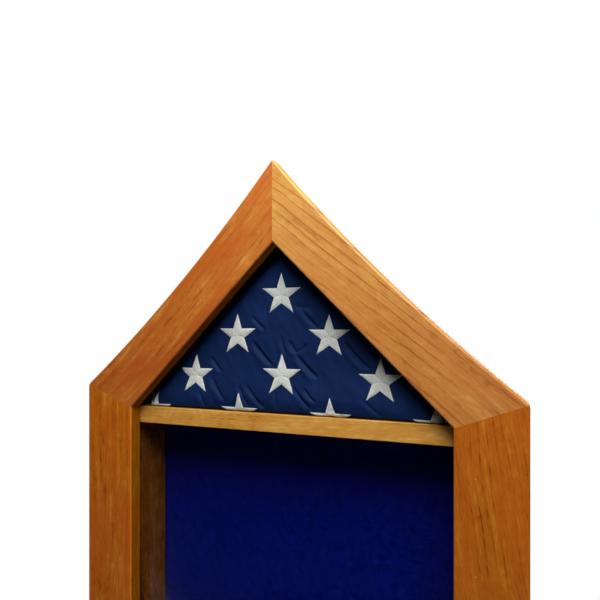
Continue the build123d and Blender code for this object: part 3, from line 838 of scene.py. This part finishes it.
# ---------------------------------------------------------------- felt
NAP = 0.05 * MM
FELT_STEPS = (150, 128)  # faces across and up
FELT_EDGE = 1.5 * MM  # width of the felt's rounded edge
FELT_EDGE_DROP = 1.2 * MM
FELT_SHEET = 0.2 * MM


def felt_sheet(material):
    """Felt glued to its board: one soft sheet with rounded edges."""
    steps_x, steps_z = FELT_STEPS
    rng = np.random.default_rng(3)
    low, high = FELT_LOW, FELT_HIGH
    xs = np.linspace(low.x, high.x, steps_x + 1)
    zs = np.linspace(low.z, high.z, steps_z + 1)
    vertices = []
    nap = rng.normal(0, NAP, (steps_z + 1, steps_x + 1))
    for j, z in enumerate(zs):
        for i, x in enumerate(xs):
            edge = min(x - low.x, high.x - x, z - low.z, high.z - z)
            drop = FELT_EDGE_DROP * (1 - min(1.0, edge / FELT_EDGE)) ** 2
            vertices.append((x, low.y + drop + abs(nap[j, i]), z))
    made = new_object("felt_sheet", vertices, grid_faces(steps_x, steps_z), material)
    thick = made.modifiers.new("thick", "SOLIDIFY")
    thick.thickness = FELT_SHEET
    thick.offset = -1.0
    apply_modifier(made, thick)
    return made


# ---------------------------------------------------------------- stage
FLOOR_FADE = (0.32, 0.52)  # from the case's middle, where the floor begins to fade and where it is white
FLOOR_HALF = 6.0


def white_world():
    """White behind everything. Its own light is soft: hardly any from the front, more from behind."""
    world = bpy.data.worlds.new("studio")
    bpy.context.scene.world = world
    world.use_nodes = True
    world.node_tree.nodes.clear()
    graph = Graph(world.node_tree)
    path = graph.add("ShaderNodeLightPath")
    direction = graph.add("ShaderNodeSeparateXYZ", i0=graph.add("ShaderNodeTexCoord").outputs["Generated"])
    rearward = graph.spread(direction.outputs[1], -0.1, 0.7, 0.008, 0.30)
    seen = graph.add("ShaderNodeBackground", color=(1, 1, 1, 1), strength=1.0)
    ambient = graph.add("ShaderNodeBackground", color=(1.0, 0.98, 0.95, 1), strength=rearward)
    camera_ray = path.outputs["Is Camera Ray"]
    mix = graph.add("ShaderNodeMixShader", i0=camera_ray, i1=ambient.outputs[0], i2=seen.outputs[0])
    output = graph.add("ShaderNodeOutputWorld")
    graph.feed(output, "surface", mix.outputs[0])


def studio_floor():
    """Pale floor that fades into the white background away from the case. It throws little light back."""
    material, graph, output = new_material("pale_floor")
    place = object_place(graph)
    flat = graph.vector("MULTIPLY", place, (1, 1, 0))
    distance = graph.vector("LENGTH", flat)
    speckle = graph.noise(place, 60.0, 3.0)
    path = graph.add("ShaderNodeLightPath")
    camera_ray = path.outputs["Is Camera Ray"]
    paint = graph.mix(speckle, (0.84, 0.84, 0.83, 1), (0.88, 0.88, 0.87, 1))
    paint = graph.mix(camera_ray, (0.16, 0.16, 0.16, 1), paint)
    ground = graph.add("ShaderNodeBsdfDiffuse", color=paint)
    white = graph.add("ShaderNodeEmission", color=(1, 1, 1, 1), strength=1.0)
    fade = graph.spread(distance, *FLOOR_FADE)
    seen = graph.math("MULTIPLY", fade, camera_ray)
    mix = graph.add("ShaderNodeMixShader", i0=seen, i1=ground.outputs[0], i2=white.outputs[0])
    graph.feed(output, "surface", mix.outputs[0])
    half = FLOOR_HALF
    corners = [(-half, -half, 0), (half, -half, 0), (half, half, 0), (-half, half, 0)]
    floor = new_object("floor", corners, [(0, 1, 2, 3)], material, smooth=False)


def area_light(name, place, aim, size, power):
    """Rectangular lamp aimed at a point."""
    data = bpy.data.lights.new(name, "AREA")
    data.shape = "RECTANGLE"
    data.size, data.size_y = size
    data.energy = power
    made = bpy.data.objects.new(name, data)
    bpy.context.scene.collection.objects.link(made)
    made.location = place
    made.rotation_mode = "QUATERNION"
    made.rotation_quaternion = (Vector(aim) - Vector(place)).to_track_quat("-Z", "Y")
    return made


def toward(turn, height, distance):
    """Place at a distance from the middle of the case's front: turned to the right of the front, raised."""
    turn, height = math.radians(turn), math.radians(height)
    flat = distance * math.cos(height)
    middle = Vector((0.0, FRONT_Y, SHOULDER_Z))
    return middle + Vector((flat * math.sin(turn), -flat * math.cos(turn), distance * math.sin(height)))


def studio_lights():
    """One big soft light above the front right; a low one behind lights only the back."""
    target = (0.0, FRONT_Y, SHOULDER_Z)
    area_light("key", toward(25, 54.5, 1.32), target, (0.9, 0.85), 30.0)
    area_light("back_fill", (0.3, 2.2, 0.55), (0, 0.05, 0.4), (1.6, 1.0), 26.0)


def main_camera():
    """The main view of the case, from in front and to the right."""
    data = bpy.data.cameras.new("camera")
    data.lens = CAMERA_LENS
    data.sensor_width = SENSOR
    data.shift_y = CAMERA_SHIFT_UP
    data.clip_start = 0.01
    made = bpy.data.objects.new("camera", data)
    bpy.context.scene.collection.objects.link(made)
    made.location = CAMERA_PLACE
    made.rotation_euler = (math.pi / 2, 0.0, CAMERA_TURN)
    bpy.context.scene.camera = made


# ---------------------------------------------------------------- build
dress_wood()
dress_hardware()

cloth = flag_bundle(flag_material())
stars = embroidered_stars(cloth, thread_material())
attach(cloth, "case")
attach(stars, "case")
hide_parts("folded_flag")

felt = felt_sheet(felt_material())
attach(felt, "case")
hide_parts("backing_felt")

white_world()
studio_floor()
studio_lights()
main_camera()
bpy.context.scene.view_settings.view_transform = "Standard"
